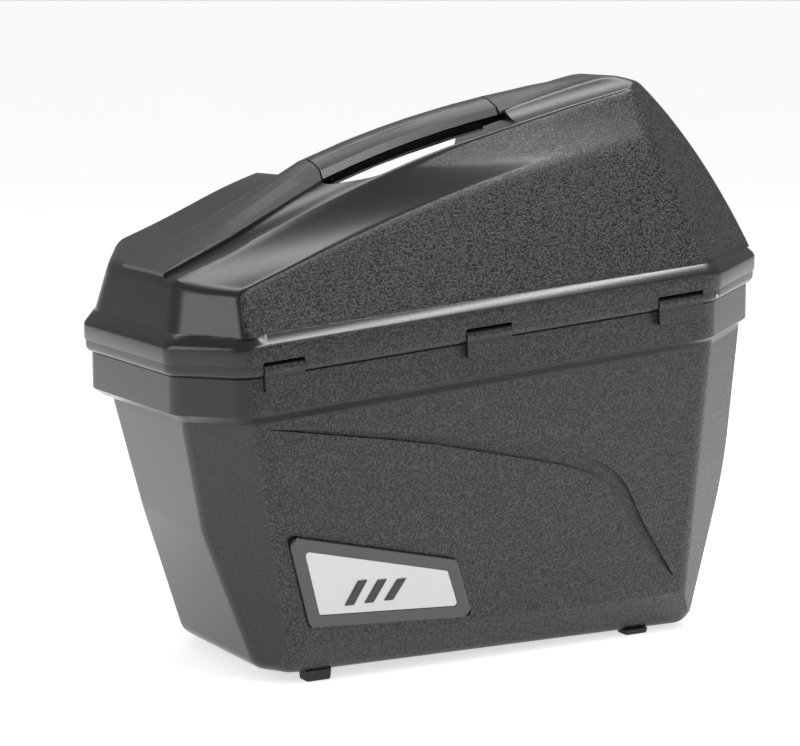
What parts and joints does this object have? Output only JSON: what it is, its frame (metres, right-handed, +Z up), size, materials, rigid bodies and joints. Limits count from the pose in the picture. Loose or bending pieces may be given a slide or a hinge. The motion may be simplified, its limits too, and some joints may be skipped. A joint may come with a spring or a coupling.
{
  "type": "motorcycle side case",
  "caption": "Hard motorcycle side case with a hinged sloping lid, a recessed carrying handle, a key lock with latch, and a rack plate with a push-button catch.",
  "frame": {"origin": "on the ground under the middle of the bounding box", "axes": "+X along the case from the low end of the lid to its high end, -Y the outer side with the hinge, +Y the motorcycle side with the rack plate and the lock, +Z up"},
  "size_m": [0.408, 0.218, 0.3476],
  "materials": {
    "case_plastic": "grained on the outer panels, satin elsewhere",
    "satin_plastic": "satin",
    "gloss_black": "gloss",
    "silver_plate": "satin",
    "dark_trim": "satin",
    "steel": "zinc plated",
    "rubber": "matte",
    "moving_nylon": "satin",
    "lock_metal": "polished"
  },
  "bodies": {
    "case": {"body_shell": "case_plastic", "hinge_pin": "steel", "lock_housing": "satin_plastic", "lock_cover": "satin_plastic", "lock_cover_screws": "steel", "lock_screws": "steel", "latch_pin": "steel", "latch_spring": "steel", "button_spring": "steel", "catch_spring": "steel", "rack_plate": "satin_plastic", "hook_slot_liners": "moving_nylon", "rack_plate_screws": "steel", "feet": "rubber", "badge_frame": "gloss_black", "badge_plate": "silver_plate", "badge_bars": "dark_trim"},
    "lid": {"lid_shell": "case_plastic", "lid_seal": "rubber", "handle": "satin_plastic", "handle_grip": "gloss_black", "low_spine_cover": "satin_plastic", "high_spine_cover": "satin_plastic", "handle_screws": "steel", "striker": "steel", "striker_screws": "steel"},
    "latch": {"lid_latch": "moving_nylon"},
    "key": {"key_barrel": "lock_metal", "lock_cam": "lock_metal"},
    "button": {"release_button": "satin_plastic"},
    "catch": {"rack_catch": "moving_nylon"}
  },
  "joints": [
    {"name": "lid_hinge", "type": "hinge", "parent": "case", "child": "lid", "pos_m": [-0.00031, -0.105, 0.20529], "axis": [0.9969, 0, 0.0785], "range_deg": [0, 90]},
    {"name": "key_turn", "type": "hinge", "parent": "case", "child": "key", "pos_m": [0.04087, 0.092, 0.20452], "axis": [0.0785, 0, -0.9969], "range_deg": [0, 90]},
    {"name": "latch_swing", "type": "hinge", "parent": "case", "child": "latch", "pos_m": [0.01165, 0.098, 0.20623], "axis": [0.9969, 0, 0.0785], "range_deg": [0, 13]},
    {"name": "button_press", "type": "slide", "parent": "case", "child": "button", "axis": [0.0785, 0, -0.9969], "range_m": [0, 0.005], "stiffness_N_per_m": 400, "springref_m": -0.004},
    {"name": "catch_retract", "type": "slide", "parent": "case", "child": "catch", "axis": [0, -1, 0], "range_m": [0, 0.005], "stiffness_N_per_m": 200, "springref_m": -0.004}
  ],
  "couplings": [
    {"joint": "latch_swing", "follows": "key_turn", "ratio": 0.1444},
    {"joint": "catch_retract", "follows": "button_press", "ratio": 1}
  ]
}
